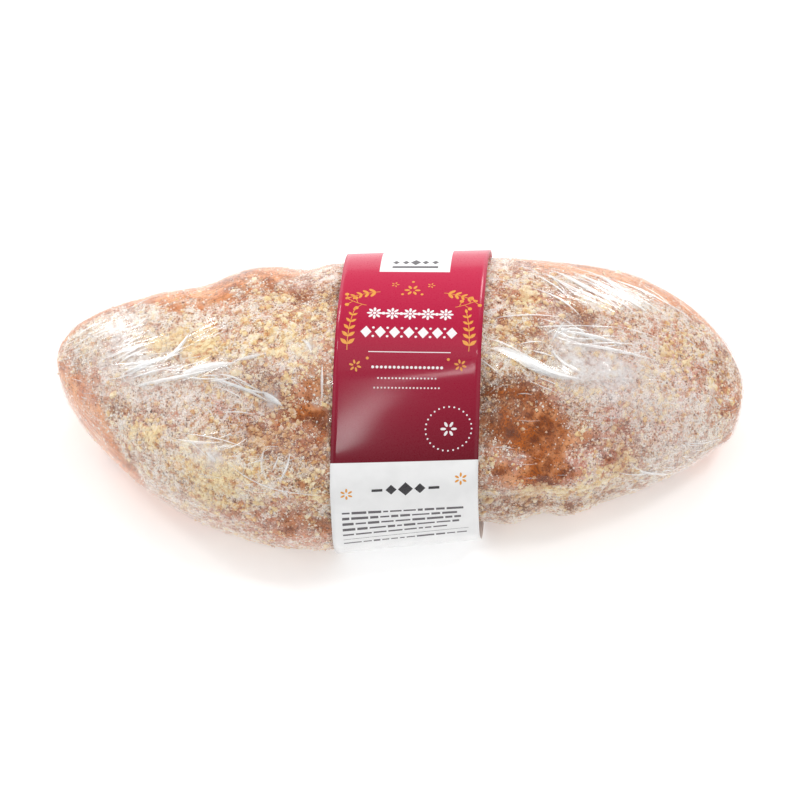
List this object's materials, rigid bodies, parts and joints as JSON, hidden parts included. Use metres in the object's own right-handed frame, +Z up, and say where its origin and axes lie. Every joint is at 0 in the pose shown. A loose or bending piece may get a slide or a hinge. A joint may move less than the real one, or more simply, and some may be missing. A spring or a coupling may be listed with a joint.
{
  "type": "stollen",
  "caption": "Long tapered stollen loaf with a stepped fold along its top, in a tight clear wrap with a paper sleeve round its middle.",
  "frame": {"origin": "under the middle of the bounding box, on the plane that the loaf rests on", "axes": "+X along the loaf to its broader end, +Z up, -Y to the front, where the fold steps down"},
  "size_m": [0.198, 0.092, 0.0595],
  "materials": {
    "wrapped_crust": "baked crust with sugar and ground nuts under a tight clear film",
    "printed_paper": "coated paper, printed crimson over a white foot"
  },
  "bodies": {
    "root": {"wrapped_loaf": "wrapped_crust", "paper_band": "printed_paper"}
  },
  "joints": []
}
